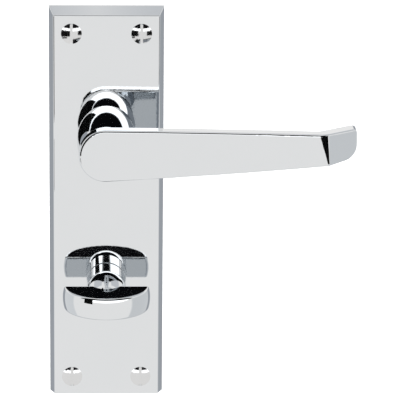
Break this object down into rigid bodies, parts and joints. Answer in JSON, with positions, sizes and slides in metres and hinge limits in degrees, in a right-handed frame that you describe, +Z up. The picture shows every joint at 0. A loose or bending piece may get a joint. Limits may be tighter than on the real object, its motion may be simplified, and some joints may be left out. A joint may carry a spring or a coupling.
{
  "type": "door lever handle",
  "caption": "Chrome lever handle on a long bevelled bathroom backplate with a half-moon thumb turn, sprung lever and square spindles.",
  "frame": {"origin": "middle of the backplate's back face, in the plane of the door's face, at the centre of the four fixing screws", "axes": "+X the way the lever points, +Y into the door, +Z up; the handle stands out along -Y"},
  "size_m": [0.1106, 0.0956, 0.148],
  "materials": {
    "polished_chrome": "polished chrome plate on a zinc casting",
    "screw_chrome": "bright chrome-plated steel",
    "steel": "zinc-plated mild steel, drawn",
    "dark_steel": "blackened alloy steel",
    "spring_steel": "oiled spring steel",
    "nylon": "natural moulded nylon"
  },
  "bodies": {
    "plate": {"backplate": "polished_chrome", "lever_bush": "nylon", "turn_bush": "nylon", "plate_screws": "screw_chrome", "stop_pins": "steel", "spring_anchor_pin": "steel", "return_spring": "spring_steel"},
    "lever": {"lever_handle": "polished_chrome", "lever_spindle": "steel", "lever_grub_screw": "dark_steel", "lever_thrust_washer": "steel", "spring_cam": "steel", "spring_keeper": "steel", "lever_circlip": "spring_steel"},
    "turn": {"thumb_turn": "polished_chrome", "turn_spindle": "steel", "turn_grub_screw": "dark_steel", "turn_wave_washer": "spring_steel", "turn_thrust_washer": "steel", "turn_circlip": "spring_steel"}
  },
  "joints": [
    {"name": "lever_press", "type": "hinge", "parent": "plate", "child": "lever", "pos_m": [0, -0.01, 0.0285], "axis": [0, 1, 0], "range_deg": [0, 45], "stiffness_Nm_per_rad": 0.6, "springref_deg": -28.65, "deforming": ["return_spring"]},
    {"name": "thumb_turn_rotate", "type": "hinge", "parent": "plate", "child": "turn", "pos_m": [0, -0.01, -0.0285], "axis": [0, 1, 0], "range_deg": [0, 90]}
  ]
}
